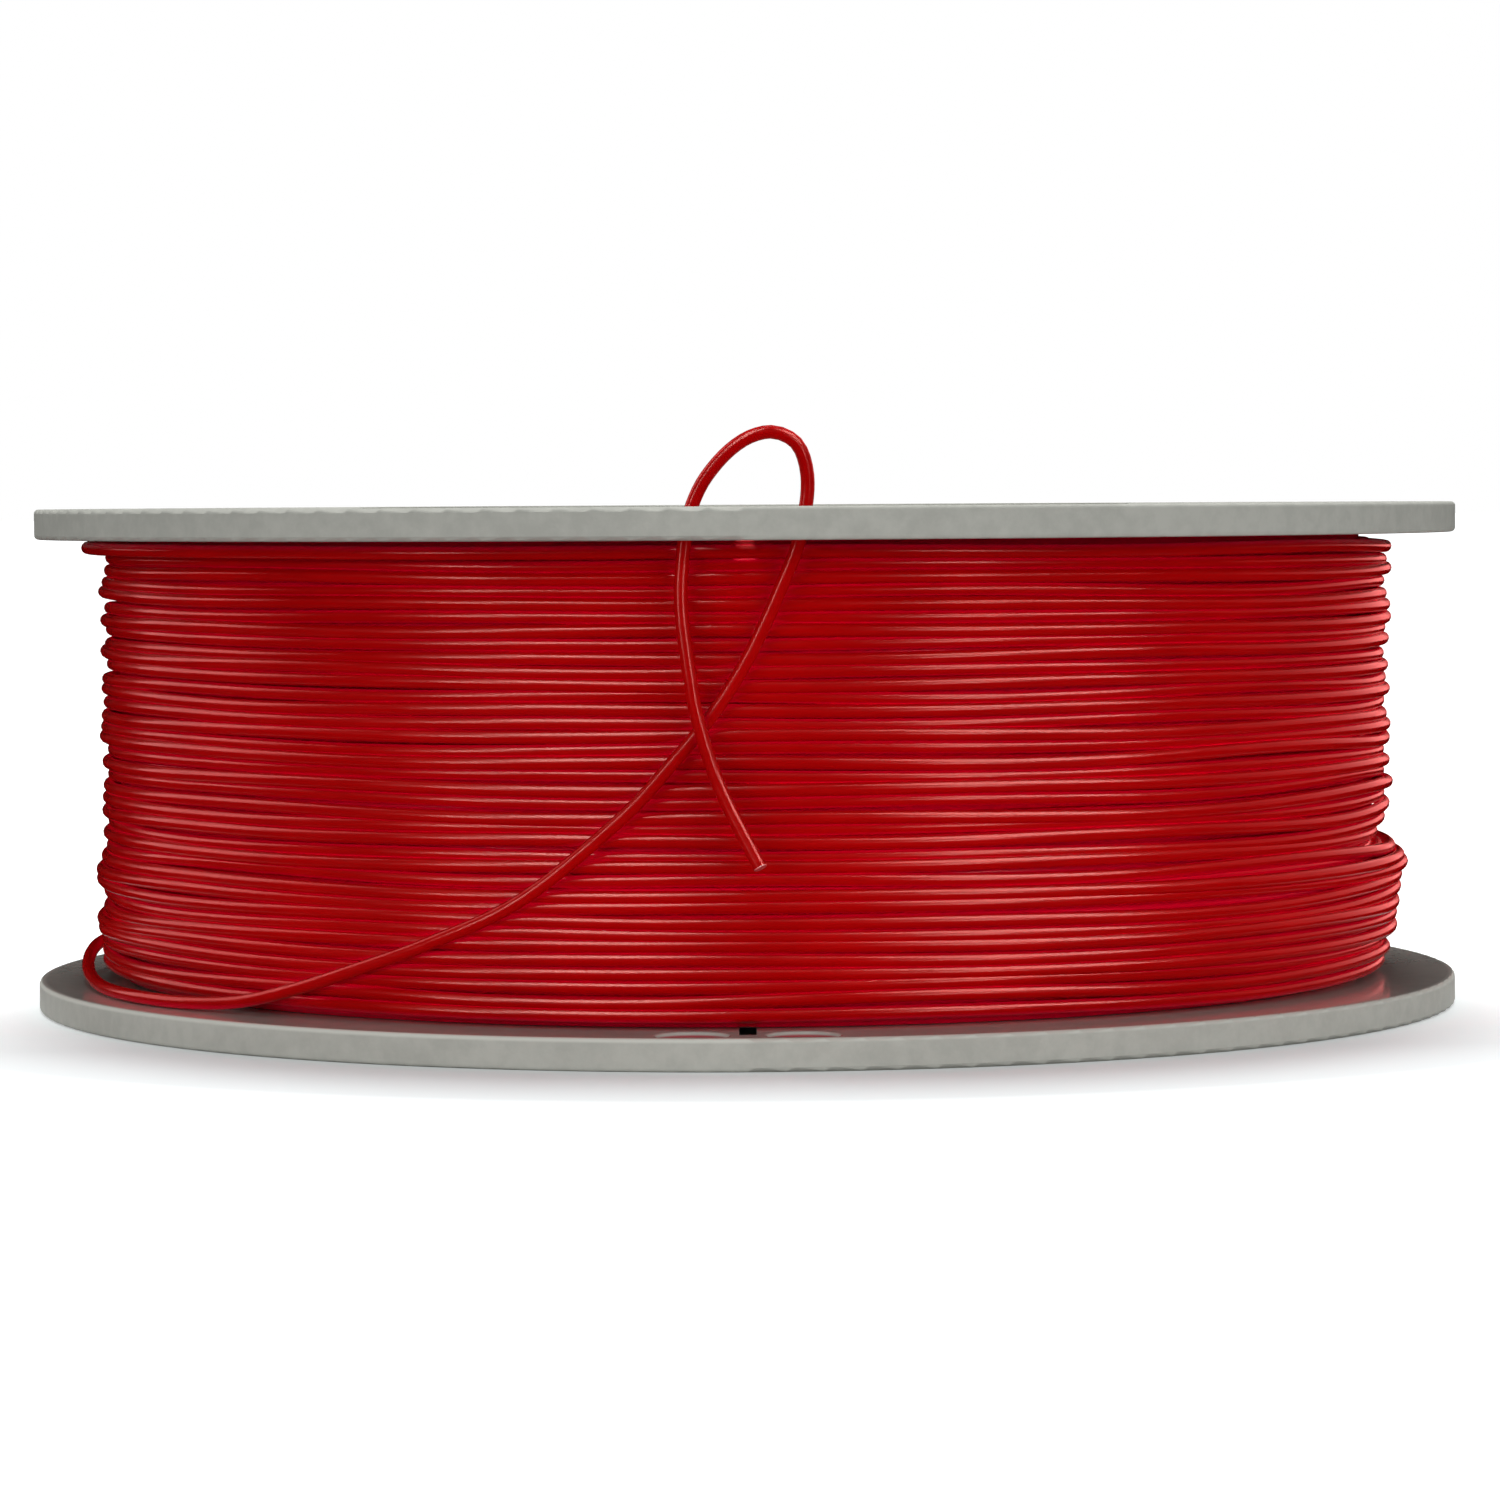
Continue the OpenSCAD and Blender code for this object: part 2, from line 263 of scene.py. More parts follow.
def smooth_path(points, step):
    """Points about a step apart on a smooth curve through the given ones"""
    path = []
    last = len(points) - 1
    for i in range(last):
        a, b = points[max(i - 1, 0)], points[i]
        c, d = points[i + 1], points[min(i + 2, last)]
        parts = max(1, round((c - b).length / step))
        for k in range(parts):
            t = k / parts
            path.append(0.5 * (2 * b + (c - a) * t + (2 * a - 5 * b + 4 * c - d) * t * t
                               + (3 * b - a - 3 * c + d) * t ** 3))
    path.append(points[last])
    return path


def strand_curve(name, points, diameter, sides):
    """A round strand as a curve of one open spline"""
    curve = bpy.data.curves.new(name, "CURVE")
    curve.dimensions = "3D"
    curve.twist_mode = "MINIMUM"
    curve.bevel_depth = diameter / 2
    curve.bevel_resolution = sides // 2 - 2
    curve.use_fill_caps = True
    spline = curve.splines.new("POLY")
    spline.points.add(len(points) - 1)
    spline.points.foreach_set("co", [x for p in points for x in (p[0], p[1], p[2], 1.0)])
    spline.use_smooth = True
    return link(name, curve)


def as_mesh(piece):
    """The same piece as a mesh"""
    depsgraph = bpy.context.evaluated_depsgraph_get()
    mesh = bpy.data.meshes.new_from_object(piece.evaluated_get(depsgraph))
    name = piece.name
    bpy.data.objects.remove(piece)
    mesh.name = name
    solid = link(name, mesh)
    mesh.polygons.foreach_set("use_smooth", [True] * len(mesh.polygons))
    return solid


def finish_piece(piece, finish, slot, *nodes):
    """Gives a new piece its material and parent body, and hides the CAD nodes that it stands for.

    Its slot is not used.
    """
    piece.data.materials.clear()
    piece.data.materials.append(finish)
    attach(piece, BODY)
    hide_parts(*nodes)
    return piece


# Winding ----------------------------------------------------------------------------------

STEPS = 120     # points in each turn

# The uppermost turn of a layer stays so far from the upper flange
TOP_GAP = 0.03 * MM

# The strand comes out of a layer, and settles at its end, over this part of a turn
EASE = 0.1

# The outer layer lies at about this distance from the axis, and its turns stand in or out of it
# by up to so much at the sides and the back, and at the front, where the free end presses
LAYER_R = 89.35 * MM
PRESS_SIDE = 0.95 * MM
PRESS_FRONT = 0.55 * MM
FRONT = 255.0

# How far the turns wander in the full layer below and in the part layer, as a share of their
# spacing
UNDER_SPREAD = 0.02
PART_SPREAD = 0.01

# The part layer is thickest in this direction
PART_TURN = 20.0

# The turns over the part layer stand out most in the first of these directions and less in the
# second. The shares are those at the front and at the second direction.
LIFT_RIGHT = 15.0
LIFT_LEFT = 170.0
LIFT_FRONT_SHARE = 0.06
LIFT_LEFT_SHARE = 0.3

# They do so between these heights, and it starts and ends over so much height
LIFT_LOW = 9.0 * MM
LIFT_HIGH = 22.5 * MM
LIFT_START = 3.0 * MM
LIFT_END = 1.5 * MM

# At the right a turn just above them lies deeper: how far, at what height and over how much
NOTCH = 2.2 * MM
NOTCH_HEIGHT = 23.8 * MM
NOTCH_WIDTH = 1.0 * MM

# Where the first turn stands out: how far, at what part of the turn and over how much of it
FIRST_LOOPS = (
    (3.2 * MM, 0.2, 0.13),
    (1.0 * MM, 0.62, 0.2),
)

# The core under the wound layers shows so many layers at its ends, each a rib drawn with so
# many points and this high beside the strand's diameter. It stays so far from the flanges.
CORE_LAYERS = 22
RIB_POINTS = 6
RIB_HEIGHT = 0.35
CORE_GAP = 0.02 * MM

# The inner end goes into the drum in this direction, ends this far inside the drum's outer face
# and turns up in a bend of this radius
ANCHOR_TURN = 200.0
ANCHOR_DEPTH = 3.2 * MM
ANCHOR_BEND = 3.0 * MM


def wander(u, seed, slowest, fastest, waves=28):
    """A smooth irregular curve of about unit size along the strand, u in turns"""
    random = np.random.RandomState(seed)
    rates = random.uniform(slowest, fastest, waves)
    phases = random.uniform(0, 2 * math.pi, waves)
    total = np.cos(2 * math.pi * rates[:, None] * u[None, :] + phases[:, None]).sum(0)
    return total / math.sqrt(waves / 2)


def held(values, reach):
    """The same run with its first and last values repeated at its ends"""
    return np.concatenate([np.full(reach, values[0]), values, np.full(reach, values[-1])])


def blur(values, width):
    """Evens out a run of values over a width in points"""
    reach = int(3 * width)
    kernel = np.exp(-0.5 * (np.arange(-reach, reach + 1) / width) ** 2)
    return np.convolve(held(values, reach), kernel / kernel.sum(), mode="valid")


def highest_near(values, reach):
    """The highest value within so many points of each point"""
    padded = held(values, reach)
    return np.max([padded[i:i + len(values)] for i in range(2 * reach + 1)], axis=0)


def bell(x, middle, width):
    """A smooth bump of height 1"""
    return np.exp(-((x - middle) / width) ** 2)


def directions(count):
    """Direction in radians of each point of a layer, which starts behind the reel"""
    return np.radians((WINDING_TURN + np.arange(count) * 360.0 / STEPS) % 360.0)


def layer_heights(turns, start, end, spread, seed):
    """Height of the strand at each point of a layer that runs from start to end.

    The strand wanders by about a share, spread, of the distance between turns.
    """
    count = turns * STEPS + 1
    u = np.arange(count) / STEPS
    pitch = (end - start) / turns
    even = start + pitch * u
    room = np.clip(np.minimum(np.abs(even - start), np.abs(end - even)) / abs(1.2 * pitch), 0, 1)
    return even + spread * abs(pitch) * room * wander(u, seed, 0.5, 8.0)


def by_direction(values):
    """One row for each turn and one column for each direction"""
    rows = len(values) // STEPS
    return values[:rows * STEPS].reshape(rows, STEPS)


def rest_radii(heights, ranks, laid, diameter):
    """Distance from the axis at which each turn rests on what is laid and on its neighbours.

    Turns of rank 0 are laid first, and those of rank 1 lie over them.
    """
    z = by_direction(heights)
    rank = by_direction(ranks)
    laid_z = np.concatenate([rows for rows, _ in laid])
    laid_r = np.concatenate([rows for _, rows in laid])
    radii = np.zeros_like(z)
    for k in range(STEPS):
        near_z = list(laid_z[:, k])
        near_r = list(laid_r[:, k])
        for i in sorted(range(len(z)), key=lambda i: (rank[i, k], i)):
            gap = np.abs(np.array(near_z) - z[i, k])
            rise = np.sqrt(np.maximum(diameter ** 2 - gap ** 2, 0))
            radii[i, k] = np.where(gap < diameter, np.array(near_r) + rise, 0).max()
            near_z.append(z[i, k])
            near_r.append(radii[i, k])
    flat = np.append(radii.reshape(-1), radii[-1, -1])
    return blur(highest_near(flat, 2), 3.0)


def lift(heights, angles, bulge):
    """How far the turns over the part layer stand out: most at the right, least at the front.

    Just above them, at the right, a turn lies deeper.
    """
    right = np.clip(np.cos(angles - math.radians(LIFT_RIGHT)), 0, 1)
    left = np.clip(np.cos(angles - math.radians(LIFT_LEFT)), 0, 1)
    share = LIFT_FRONT_SHARE + (1 - LIFT_FRONT_SHARE) * right + LIFT_LEFT_SHARE * left ** 2
    up = np.clip((heights - LIFT_LOW) / LIFT_START, 0, 1)
    down = np.clip((LIFT_HIGH - heights) / LIFT_END, 0, 1)
    notch = NOTCH * right * bell(heights, NOTCH_HEIGHT, NOTCH_WIDTH)
    return bulge * share * up * down - notch


def press(radii, angles, lifted):
    """Draws the turns of the outer layer together, most of all under the free end at the front"""
    front = np.clip((np.cos(angles - math.radians(FRONT)) - 0.3) / 0.5, 0, 1)
    reach = PRESS_SIDE + (PRESS_FRONT - PRESS_SIDE) * front
    middle = LAYER_R + lifted
    return middle + reach * np.tanh((radii - middle) / reach)


def layer_points(heights, radii):
    """The points of a layer in the frame"""
    angles = directions(len(heights))
    return np.stack([radii * np.cos(angles), radii * np.sin(angles), heights], axis=1)


def under_layer(s):
    """Heights and radii of the full layer below, which climbs the reel.

    Its last stretch comes out to where the outer layer starts.
    """
    low = FLANGE_FACE_LOW + s.diameter / 2
    high = FLANGE_FACE_HIGH - s.diameter / 2 - TOP_GAP
    heights = layer_heights(s.under_turns, low, high, UNDER_SPREAD, s.seed + 1)
    u = np.arange(len(heights)) / STEPS
    out = np.clip((u - s.under_turns + EASE) / EASE, 0, 1)
    return heights, s.under_radius + 0.95 * s.diameter * out * out * (3 - 2 * out)


def extra_turns(s):
    """Heights and radii of a few more turns low on the reel, which lift those over them"""
    top = s.extra_height + s.extra_turns * s.diameter
    heights = layer_heights(s.extra_turns, s.extra_height, top, PART_SPREAD, s.seed + 3)
    share = 0.72 + 0.28 * np.cos(directions(len(heights)) - math.radians(PART_TURN))
    return heights, s.under_radius + s.diameter * 0.92 * share


def outer_layer(s):
    """Points of the outer layer, which goes down the reel to where the free end leaves"""
    d = s.diameter
    low = FLANGE_FACE_LOW + d / 2 + END_GAP
    high = FLANGE_FACE_HIGH - d / 2 - TOP_GAP
    heights = layer_heights(s.outer_turns, high, low, s.spread, s.seed)
    count = len(heights)
    angles = directions(count)
    u = np.arange(count) / STEPS
    # The strand swaps between lying first and lying over, once a turn, behind the reel
    swaps = np.arange(s.outer_turns + 2) + 0.45 * np.random.RandomState(s.seed).uniform(
        -1, 1, s.outer_turns + 2)
    ranks = np.searchsorted(swaps, u) % 2
    laid = [[by_direction(rows) for rows in layer]
            for layer in (under_layer(s), extra_turns(s))]
    radii = press(rest_radii(heights, ranks, laid, d), angles, lift(heights, angles, s.bulge))
    # Loose turns stand out, but not at the front, where the free end lies over them
    sides = np.clip((np.sin(angles) + 0.75) / 0.5, 0, 1)
    slack = np.clip(wander(u, s.seed + 2, 0.3, 2.5) - 0.3, 0, 1.6) * s.slack * sides
    for reach, middle, width in FIRST_LOOPS:
        slack += reach * bell(u, middle, width)
    # The strand starts on the layer below, and ends where its free end starts
    slack *= np.clip(u / EASE, 0, 1)
    radii = radii + blur(slack, 4.0)
    ease = np.clip((u - (s.outer_turns - 1.2 * EASE)) / EASE, 0, 1)
    radii = radii * (1 - ease) + WINDING_R * ease
    return layer_points(heights, radii)


# Materials --------------------------------------------------------------------------------

# Painted light: wherever other turns close the strand in, its colour is painted brighter, a painted
# glow in place of light that comes through the strand and fills the shade there. It is painted in
# full where the share of open air is the first of these, and not at all from the second on.
GLOW_FULL = 0.17
GLOW_NONE = 0.7

# The flanges' web is this thick, and between these distances from the axis the walls of its holes
# and its slot are painted this dark red: painted shade and red light in place of the light that
# comes through the strand
WEB_T = 2.2 * MM
HOLES_FROM = 88.0 * MM
HOLES_TO = 98.1 * MM
HOLE_WALL_PAINTED_LIGHT = (0.36, 0.07, 0.08, 1.0)

# The nipped end's paler plastic
NIPPED_COLOUR = (0.55, 0.06, 0.07, 1.0)

# The paper as it is seen, and as other surfaces get light from it, near the reel and far away
PAPER_SEEN = (0.76, 0.81, 0.815, 1.0)
PAPER_NEAR = (0.8, 0.8, 0.8, 1.0)
PAPER_FAR = (0.2, 0.2, 0.2, 1.0)


class Nodes:
    """Short calls for building a material's node tree"""

    def __init__(self, name):
        self.material = bpy.data.materials.new(name)
        self.material.use_nodes = True
        self.tree = self.material.node_tree
        self.shader = self.tree.nodes["Principled BSDF"]
        self.place = self.new("ShaderNodeTexCoord").outputs["Object"]

    def new(self, kind, **settings):
        node = self.tree.nodes.new(kind)
        for key, value in settings.items():
            setattr(node, key, value)
        return node

    def link(self, source, target):
        self.tree.links.new(source, target)

    def noise(self, scale, detail=3.0, rough=0.5, place=None):
        node = self.new("ShaderNodeTexNoise")
        node.inputs["Scale"].default_value = scale
        node.inputs["Detail"].default_value = detail
        node.inputs["Roughness"].default_value = rough
        self.link(place or self.place, node.inputs["Vector"])
        return node.outputs["Fac"]

    def ramp(self, source, low, high, to_low=0.0, to_high=1.0):
        node = self.new("ShaderNodeMapRange", clamp=True)
        for key, value in zip(("From Min", "From Max", "To Min", "To Max"),
                              (low, high, to_low, to_high)):
            node.inputs[key].default_value = value
        self.link(source, node.inputs["Value"])
        return node.outputs["Result"]

    def math(self, operation, a, b=None):
        node = self.new("ShaderNodeMath", operation=operation)
        for socket, value in zip(node.inputs, (a, b)):
            if value is None:
                continue
            if isinstance(value, (int, float)):
                socket.default_value = value
            else:
                self.link(value, socket)
        return node.outputs[0]

    def mix(self, factor, a, b):
        node = self.new("ShaderNodeMix", data_type="RGBA")
        self.link(factor, node.inputs["Factor"])
        for socket, value in ((node.inputs["A"], a), (node.inputs["B"], b)):
            if isinstance(value, (tuple, list)):
                socket.default_value = value
            else:
                self.link(value, socket)
        return node.outputs["Result"]

    def bump(self, height, distance, strength=1.0):
        node = self.new("ShaderNodeBump")
        node.inputs["Distance"].default_value = distance
        node.inputs["Strength"].default_value = strength
        self.link(height, node.inputs["Height"])
        return node.outputs["Normal"]

    def axes(self):
        """The three object coordinates"""
        node = self.new("ShaderNodeSeparateXYZ")
        self.link(self.place, node.inputs[0])
        return node.outputs["X"], node.outputs["Y"], node.outputs["Z"]

    def from_axis(self):
        """Distance from the reel's axis"""
        x, y, _ = self.axes()
        return self.math("SQRT", self.math("ADD", self.math("MULTIPLY", x, x),
                                           self.math("MULTIPLY", y, y)))

    def along_strand(self, stretch):
        """Coordinates round the reel, up and out, stretched along the strand"""
        x, y, z = self.axes()
        node = self.new("ShaderNodeCombineXYZ")
        arc = self.math("MULTIPLY", self.math("ARCTAN2", y, x), WINDING_R / stretch)
        self.link(arc, node.inputs[0])
        self.link(self.from_axis(), node.inputs[1])
        self.link(z, node.inputs[2])
        return node.outputs[0]


def shade(colour, factor):
    """The colour made darker or lighter"""
    return tuple(c * factor for c in colour[:3]) + (1.0,)


def material(name, build, s):
    """The named material, built the first time that it is asked for"""
    return bpy.data.materials.get(name) or build(name, s)


def filament_finish(name, s):
    """Glossy drawn plastic: faint streaks and a drift in colour along the strand.

    Where it is wound, the grooves between the turns are painted brighter, a painted glow that stands
    in for light coming through the turns and fills their shade.
    """
    n = Nodes(name)
    drift = n.noise(60.0, 2.0)
    streak = n.noise(2200.0, 2.0, place=n.along_strand(18.0))
    tone = n.ramp(n.math("ADD", n.math("MULTIPLY", drift, 0.7), n.math("MULTIPLY", streak, 0.3)),
                  0.36, 0.64)
    surface = n.mix(tone, shade(s.colour, 0.9), shade(s.colour, 1.08))
    # Painted light: where occlusion finds other turns close by, the colour is painted towards the
    # brighter groove colour, a painted glow in their shade
    corner = n.new("ShaderNodeAmbientOcclusion", samples=12)
    corner.inputs["Distance"].default_value = 1.6 * s.diameter
    glow = n.ramp(corner.outputs["AO"], GLOW_FULL, GLOW_NONE, 1.0, 0.0)
    surface = n.mix(glow, surface, tuple(s.groove_painted_glow))
    n.link(surface, n.shader.inputs["Base Color"])
    n.link(n.ramp(streak, 0.3, 0.7, s.roughness - 0.03, s.roughness + 0.06),
           n.shader.inputs["Roughness"])
    n.link(n.bump(n.noise(900.0, 1.0), 0.003 * MM, 0.8), n.shader.inputs["Normal"])
    n.shader.inputs["Specular IOR Level"].default_value = 0.06
    n.shader.inputs["Specular Tint"].default_value = (1.0, 0.55, 0.51, 1.0)
    return n.material


def moulded_finish(name, s):
    """Warm grey moulded plastic: fine texture outside, smooth and glossy towards the filament"""
    n = Nodes(name)
    mottle = n.noise(420.0, 4.0, 0.6)
    cloud = n.noise(35.0, 2.0)
    tone = n.math("ADD", n.math("MULTIPLY", mottle, 0.6), n.math("MULTIPLY", cloud, 0.4))
    paint = n.mix(n.ramp(tone, 0.4, 0.6), shade(s.colour, 0.93), shade(s.colour, 1.06))
    _, _, height = n.axes()
    out = n.from_axis()
    # The depth below the faces at the filament, in both flanges
    middle = (FLANGE_FACE_LOW + FLANGE_FACE_HIGH) / 2
    reach = (FLANGE_FACE_HIGH - FLANGE_FACE_LOW) / 2
    from_middle = n.math("ABSOLUTE", n.math("SUBTRACT", height, middle))
    depth = n.math("SUBTRACT", from_middle, reach)
    # The lower flange is painted paler along its upper edge: a painted highlight where light catches
    # its rounding
    below = n.math("ABSOLUTE", n.math("SUBTRACT", height, FLANGE_FACE_LOW))
    edge = n.math("MULTIPLY", n.ramp(out, FLANGE_R - 1.1 * MM, FLANGE_R - 0.7 * MM),
                  n.ramp(below, 0.35 * MM, 0.65 * MM, 1.0, 0.0))
    paint = n.mix(edge, paint, shade(s.colour, 1.35))
    # The walls of the end holes and the slot are painted dark red: painted shade and red light in
    # place of the light that comes through the strand
    wall = n.math("MULTIPLY", n.ramp(depth, 0.25 * MM, 0.5 * MM),
                  n.ramp(depth, WEB_T - 0.3 * MM, WEB_T - 0.1 * MM, 1.0, 0.0))
    wall = n.math("MULTIPLY", wall, n.ramp(out, HOLES_FROM - 1.0 * MM, HOLES_FROM + 1.0 * MM))
    wall = n.math("MULTIPLY", wall,
                  n.ramp(out, HOLES_TO - 0.1 * MM, HOLES_TO + 0.1 * MM, 1.0, 0.0))
    n.link(n.mix(wall, paint, HOLE_WALL_PAINTED_LIGHT), n.shader.inputs["Base Color"])
    outside = n.ramp(depth, 0.02 * MM, 0.12 * MM)
    n.link(n.ramp(mottle, 0.3, 0.7, s.roughness - 0.06, s.roughness + 0.06),
           n.shader.inputs["Roughness"])
    grain = n.noise(2400.0, 3.0, 0.6)
    coarse = n.noise(700.0, 2.0)
    relief = n.math("ADD", grain, n.math("MULTIPLY", coarse, 1.4))
    n.link(n.bump(n.math("MULTIPLY", relief, outside), 0.02 * MM, 0.8),
           n.shader.inputs["Normal"])
    n.shader.inputs["Specular IOR Level"].default_value = 0.03
    n.link(n.math("SUBTRACT", 1.0, outside), n.shader.inputs["Coat Weight"])
    n.shader.inputs["Coat Roughness"].default_value = 0.12
    n.shader.inputs["Coat IOR"].default_value = 1.5
    return n.material


def nipped_finish(name, s):
    """The nipped end, paler where the plastic was stressed"""
    n = Nodes(name)
    n.link(n.mix(n.ramp(n.noise(1800.0), 0.35, 0.65), NIPPED_COLOUR, shade(s.colour, 1.0)),
           n.shader.inputs["Base Color"])
    n.shader.inputs["Roughness"].default_value = 0.5
    return n.material


def floor_finish(name, s):
    """White paper that comes out white. Its own glow is painted lower near the reel, lowest in front
    of it, a painted shade that adds to the reel's shadow there.
    """
    n = Nodes(name)
    n.shader.inputs["Roughness"].default_value = 1.0
    n.shader.inputs["Specular IOR Level"].default_value = 0.0
    n.shader.inputs["Emission Color"].default_value = (1.0, 1.0, 1.0, 1.0)
    path = n.new("ShaderNodeLightPath")
    seen = n.math("MAXIMUM", path.outputs["Is Camera Ray"],
                  n.math("MAXIMUM", path.outputs["Is Glossy Ray"],
                         path.outputs["Is Transmission Ray"]))
    # The paper throws less light on the reel than it shows, least of all from far away
    out = n.from_axis()
    thrown = n.mix(n.ramp(out, 1.2 * FLANGE_R, 2.0 * FLANGE_R), PAPER_NEAR, PAPER_FAR)
    n.link(n.mix(seen, thrown, PAPER_SEEN), n.shader.inputs["Base Color"])
    # Painted shade and light: the paper's own glow drops near the reel, so that the top soft box's
    # shadow shows, deepened by this painted shade; at the sides and behind it is painted higher,
    # which takes the shade away there
    far = n.ramp(out, 1.3 * FLANGE_R, 1.6 * FLANGE_R, s.floor_light, 1.0)
    _, y, _ = n.axes()
    behind = n.ramp(y, -0.7 * FLANGE_R, -0.1 * FLANGE_R, 0.0, 0.36)
    paper = n.math("MULTIPLY", seen, n.math("MAXIMUM", far, n.math("ADD", behind, s.floor_light)))
    n.link(paper, n.shader.inputs["Emission Strength"])
    return n.material


# Operators --------------------------------------------------------------------------------

class REEL_OT_place_camera(bpy.types.Operator):
    """Places the camera a little above the level of the upper flange, in front of the reel"""

    bl_idname = "reel.place_camera"
    bl_label = "Place Camera"

    def execute(self, context):
        s = context.scene.reel_stage
        data = bpy.data.cameras.new("camera")
        data.lens = s.lens
        data.sensor_width = 36.0
        data.sensor_fit = "AUTO"
        data.clip_start = 0.01
        data.clip_end = 100.0
        camera = link("camera", data)
        camera.matrix_world = (
            Matrix.Translation((CAMERA_ASIDE, -s.distance, s.height))
            @ Matrix.Rotation(math.radians(CAMERA_YAW), 4, "Z")
            @ Matrix.Rotation(math.radians(90) - s.tilt, 4, "X")
            @ Matrix.Rotation(-s.roll, 4, "Z"))
        context.scene.camera = camera
        return {"FINISHED"}


class REEL_OT_lay_free_end(bpy.types.Operator):
    """Lays the strand's free end across the front and through both holes of the upper flange"""

    bl_idname = "reel.lay_free_end"
    bl_label = "Lay Free End"

    def execute(self, context):
        s = context.scene.reel_filament
        start = (around(WINDING_TURN, WINDING_R, FLANGE_FACE_LOW + s.diameter / 2 + END_GAP)
                 + s.diameter * tangent(WINDING_TURN))
        route = [start] + [around(turn, radius * MM, height * MM)
                           for turn, radius, height in TAIL_ROUTE]
        path = smooth_path(route, 1.0 * MM)
        tail = strand_curve("free_end", path, s.diameter, 16)
        finish_piece(tail, material("red_filament", filament_finish, s), "filament",
                     "filament_tail")
        nip = self.nipped_end(s, path[-1], (path[-1] - path[-2]).normalized())
        return {"FINISHED"}

    @staticmethod
    def nipped_end(s, tip, heading):
        """The burr that cutters leave on the end of the strand"""
        bm = bmesh.new()
        bmesh.ops.create_circle(bm, cap_ends=True, radius=s.diameter / 2, segments=24)
        face = next(iter(bm.faces))
        for rise, grow in ((0.08 * MM, 1.1), (0.1 * MM, 1.0), (0.08 * MM, 0.82)):
            out = bmesh.ops.extrude_face_region(bm, geom=[face])
            face = next(g for g in out["geom"] if isinstance(g, bmesh.types.BMFace))
            bmesh.ops.translate(bm, verts=face.verts, vec=(0, 0, rise))
            bmesh.ops.scale(bm, verts=face.verts, vec=(grow, grow * 0.92, 1))
        bmesh.ops.recalc_face_normals(bm, faces=bm.faces)
        turn = heading.to_track_quat("Z", "Y").to_matrix().to_4x4()
        bm.transform(Matrix.Translation(tip - heading * 0.06 * MM) @ turn)
        mesh = bpy.data.meshes.new("nipped_tip")
        bm.to_mesh(mesh)
        bm.free()
        mesh.polygons.foreach_set("use_smooth", [True] * len(mesh.polygons))
        return finish_piece(link("nipped_tip", mesh),
                            material("nipped_plastic", nipped_finish, s), "filament")


class REEL_OT_wind_outer_layer(bpy.types.Operator):
    """Winds the irregular outer layer of the strand"""

    bl_idname = "reel.wind_outer_layer"
    bl_label = "Wind Outer Layer"

    def execute(self, context):
        s = context.scene.reel_filament
        points = outer_layer(s)
        # Square to the free end that it meets
        points = np.vstack([points, points[-1] + s.diameter * np.array(tangent(WINDING_TURN))])
        strand = as_mesh(strand_curve("outer_turns", points, s.diameter, 12))
        finish_piece(strand, material("red_filament", filament_finish, s), "filament",
                     "outer_winding")
        return {"FINISHED"}


class REEL_OT_pack_inner_layers(bpy.types.Operator):
    """Packs the layers under the outer one: a ribbed core, with wound turns round it"""

    bl_idname = "reel.pack_inner_layers"
    bl_label = "Pack Inner Layers"

    def execute(self, context):
        s = context.scene.reel_filament
        bm = bmesh.new()
        for layer in (under_layer(s), extra_turns(s)):
            turns = as_mesh(strand_curve("turns", layer_points(*layer), s.diameter, 10))
            bm.from_mesh(turns.data)
            bpy.data.objects.remove(turns)
        self.add_core(bm, s)
        mesh = bpy.data.meshes.new("inner_layers")
        bm.to_mesh(mesh)
        bm.free()
        mesh.polygons.foreach_set("use_smooth", [True] * len(mesh.polygons))
        finish_piece(link("inner_layers", mesh), material("red_filament", filament_finish, s),
                     "filament", "packed_filament")
        return {"FINISHED"}

    @staticmethod
    def add_core(bm, s):
        """A ring whose ends show one rounded rib for each layer"""
        d = s.diameter
        core_r = s.under_radius - d / 2
        pitch = (core_r - DRUM_R) / CORE_LAYERS
        profile = []
        for i in range(CORE_LAYERS):
            for part in range(RIB_POINTS):
                across = (part + 0.5) / RIB_POINTS
                rib = math.sqrt(max(0.0, 1 - (2 * across - 1) ** 2))
                profile.append((DRUM_R + (i + across) * pitch, d * RIB_HEIGHT * (1 - rib)))
        low = [Vector((r, 0, FLANGE_FACE_LOW + CORE_GAP + h)) for r, h in profile]
        high = [Vector((r, 0, FLANGE_FACE_HIGH - CORE_GAP - h)) for r, h in profile]
        verts = [bm.verts.new(p) for p in low + high[::-1]]
        edges = [bm.edges.new(pair) for pair in zip(verts, verts[1:] + verts[:1])]
        bmesh.ops.spin(bm, geom=verts + edges, cent=(0, 0, 0), axis=(0, 0, 1),
                       angle=2 * math.pi, steps=144, use_merge=True)
        bmesh.ops.recalc_face_normals(bm, faces=bm.faces)


class REEL_OT_anchor_inner_end(bpy.types.Operator):
    """Bends the strand's inner end against the inside of the drum"""

    bl_idname = "reel.anchor_inner_end"
    bl_label = "Anchor Inner End"

    def execute(self, context):
        s = context.scene.reel_filament
        low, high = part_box("filament_anchor")
        base = low.z + s.diameter / 2
        wall_side = DRUM_R - 0.01 * MM
        inner = DRUM_R - ANCHOR_DEPTH - s.diameter / 2
        path = [around(ANCHOR_TURN, wall_side, base)]
        for k in range(9):
            angle = math.radians(90 * k / 8)
            path.append(around(ANCHOR_TURN, inner + ANCHOR_BEND * (1 - math.sin(angle)),
                               base + ANCHOR_BEND * (1 - math.cos(angle))))
        path.append(around(ANCHOR_TURN, inner, high.z))
        strand = strand_curve("inner_end", path, s.diameter, 12)
        finish_piece(as_mesh(strand), material("red_filament", filament_finish, s), "filament",
                     "filament_anchor")
        return {"FINISHED"}


